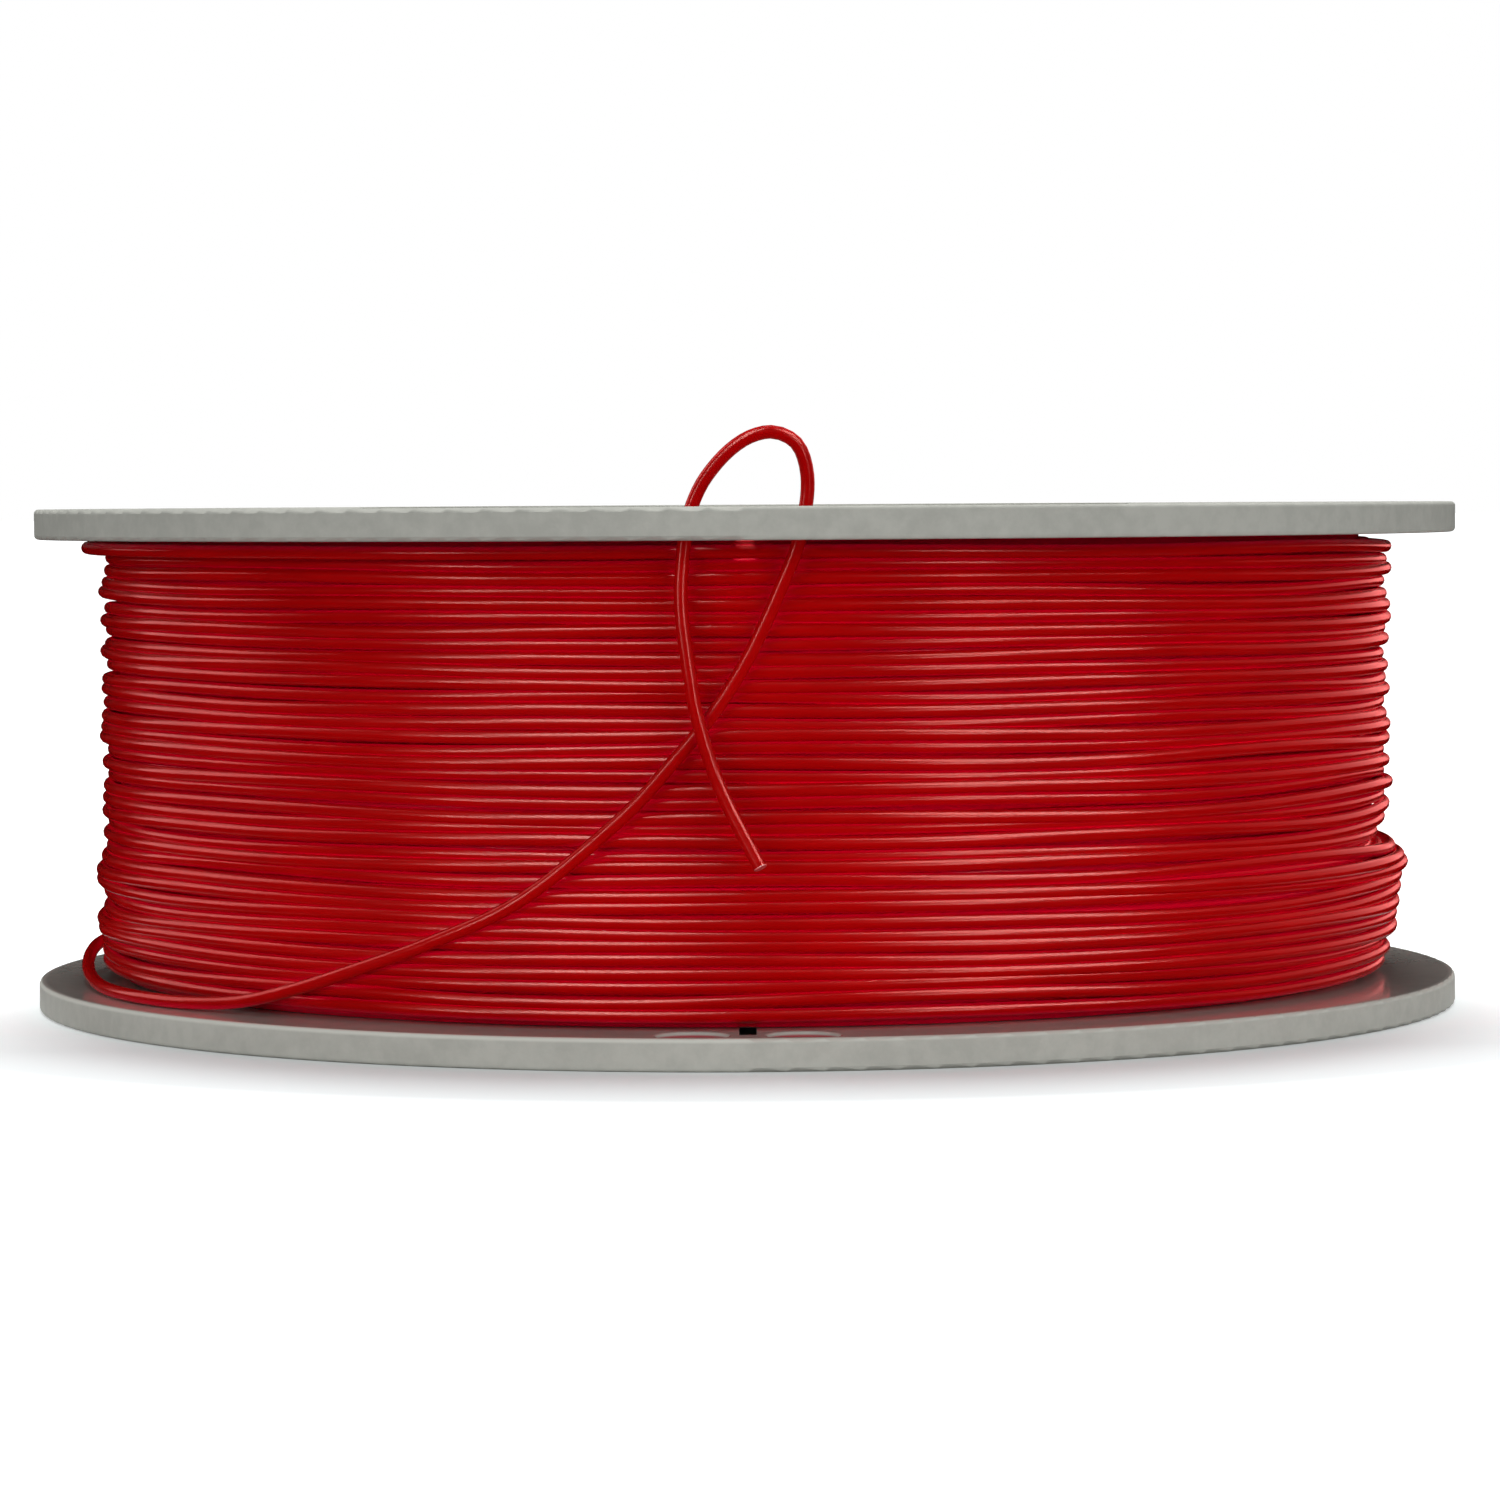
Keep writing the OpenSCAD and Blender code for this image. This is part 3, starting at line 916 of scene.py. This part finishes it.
class REEL_OT_finish_mouldings(bpy.types.Operator):
    """Gives both flanges and the drum their moulded plastic"""

    bl_idname = "reel.finish_mouldings"
    bl_label = "Finish Mouldings"

    def execute(self, context):
        moulded = material("grey_moulding", moulded_finish, context.scene.reel_plastic)
        for name in ("lower_flange", "upper_flange", "core_barrel"):
            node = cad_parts[name]
            for slot in node.material_slots:
                slot.material = moulded
        return {"FINISHED"}


class REEL_OT_set_stage(bpy.types.Operator):
    """Lays the white floor, and sets up the lamps, the dark cards and the room light"""

    bl_idname = "reel.set_stage"
    bl_label = "Set Stage"

    def execute(self, context):
        s = context.scene.reel_stage
        bm = bmesh.new()
        bmesh.ops.create_grid(bm, x_segments=4, y_segments=4, size=FLOOR_REACH)
        mesh = bpy.data.meshes.new("floor")
        bm.to_mesh(mesh)
        bm.free()
        mesh.materials.append(material("white_paper", floor_finish, s))
        link("floor", mesh)
        self.room(context.scene, s)
        for *box, share in SOFT_BOXES:
            soft_box = self.lamp(*box, s.lamp_power * share)
            soft_box.visible_glossy = False
        strands = bpy.data.collections.new("strands")
        for name in STRANDS:
            strands.objects.link(bpy.data.objects[name])
        for *box, share, tint in STRIPS:
            width, tall = box[3:]
            strip = self.lamp(*box, s.highlight * share * math.pi * width * tall)
            strip.visible_diffuse = False
            strip.data.color = (1.0, tint, 0.95 * tint)
            strip.light_linking.receiver_collection = strands
        self.dark_cards()
        context.scene.view_settings.view_transform = "Standard"
        return {"FINISHED"}

    @staticmethod
    def room(scene, s):
        world = bpy.data.worlds.new("room")
        scene.world = world
        world.use_nodes = True
        tree = world.node_tree
        back = tree.nodes["Background"]
        back.inputs["Color"].default_value = (1.0, 1.0, 1.0, 1.0)
        path = tree.nodes.new("ShaderNodeLightPath")
        seen = path.outputs["Is Camera Ray"]
        for kind in ("Is Glossy Ray", "Is Transmission Ray"):
            either = tree.nodes.new("ShaderNodeMath")
            either.operation = "MAXIMUM"
            tree.links.new(seen, either.inputs[0])
            tree.links.new(path.outputs[kind], either.inputs[1])
            seen = either.outputs[0]
        level = tree.nodes.new("ShaderNodeMapRange")
        level.inputs["To Min"].default_value = s.world_level
        level.inputs["To Max"].default_value = 1.0
        tree.links.new(seen, level.inputs["Value"])
        tree.links.new(level.outputs["Result"], back.inputs["Strength"])

    @staticmethod
    def dark_cards():
        """Dark cards on the floor and upright round the reel, which show only in its gloss"""
        bm = bmesh.new()
        corners = [(1.1 * FLANGE_R, CARD_GAP), (CARD_DISTANCE, CARD_GAP),
                   (CARD_DISTANCE, CARD_HEIGHT)]
        verts = [bm.verts.new((r, 0, z)) for r, z in corners]
        edges = [bm.edges.new(pair) for pair in zip(verts, verts[1:])]
        bmesh.ops.spin(bm, geom=verts + edges, cent=(0, 0, 0), axis=(0, 0, 1),
                       angle=2 * math.pi, steps=96, use_merge=True)
        mesh = bpy.data.meshes.new("dark_cards")
        bm.to_mesh(mesh)
        bm.free()
        n = Nodes("black_card")
        n.shader.inputs["Base Color"].default_value = (0.0, 0.0, 0.0, 1.0)
        n.shader.inputs["Specular IOR Level"].default_value = 0.0
        mesh.materials.append(n.material)
        cards = link("dark_cards", mesh)
        for ray in ("camera", "diffuse", "transmission", "shadow", "volume_scatter"):
            setattr(cards, "visible_" + ray, False)

    @staticmethod
    def lamp(name, turn, rise, width, tall, power):
        """A rectangular lamp that faces the reel from a direction and an angle above it"""
        data = bpy.data.lights.new(name, "AREA")
        data.shape = "RECTANGLE"
        data.size = width
        data.size_y = tall
        data.energy = power
        lamp = link(name, data)
        middle = Vector((0, 0, REEL_TOP / 2))
        flat = LAMP_DISTANCE * math.cos(math.radians(rise))
        place = middle + around(turn, flat, LAMP_DISTANCE * math.sin(math.radians(rise)))
        face = (middle - place).to_track_quat("-Z", "Y").to_matrix().to_4x4()
        lamp.matrix_world = Matrix.Translation(place) @ face
        return lamp


class REEL_PT_tools(bpy.types.Panel):
    """Lists the reel's tools and settings"""

    bl_idname = "REEL_PT_tools"
    bl_label = "Filament Reel"
    bl_space_type = "VIEW_3D"
    bl_region_type = "UI"
    bl_category = "Reel"

    def draw(self, context):
        layout = self.layout
        for group in (context.scene.reel_filament, context.scene.reel_plastic,
                      context.scene.reel_stage):
            box = layout.box()
            for key in group.bl_rna.properties.keys():
                if key not in ("rna_type", "name"):
                    box.prop(group, key)
        for operator in OPERATORS:
            layout.operator(operator.bl_idname)


OPERATORS = (
    REEL_OT_place_camera,
    REEL_OT_lay_free_end,
    REEL_OT_wind_outer_layer,
    REEL_OT_pack_inner_layers,
    REEL_OT_anchor_inner_end,
    REEL_OT_finish_mouldings,
    REEL_OT_set_stage,
)
CLASSES = (ReelFilamentSettings, ReelPlasticSettings, ReelStageSettings) + OPERATORS + (
    REEL_PT_tools,)


def register():
    for cls in CLASSES:
        bpy.utils.register_class(cls)
    scene = bpy.types.Scene
    scene.reel_filament = bpy.props.PointerProperty(type=ReelFilamentSettings)
    scene.reel_plastic = bpy.props.PointerProperty(type=ReelPlasticSettings)
    scene.reel_stage = bpy.props.PointerProperty(type=ReelStageSettings)


def unregister():
    for name in ("reel_filament", "reel_plastic", "reel_stage"):
        delattr(bpy.types.Scene, name)
    for cls in reversed(CLASSES):
        bpy.utils.unregister_class(cls)


def main():
    register()
    bpy.ops.reel.place_camera()
    bpy.ops.reel.lay_free_end()
    bpy.ops.reel.wind_outer_layer()
    bpy.ops.reel.pack_inner_layers()
    bpy.ops.reel.anchor_inner_end()
    bpy.ops.reel.finish_mouldings()
    bpy.ops.reel.set_stage()


if __name__ == "__main__":
    main()
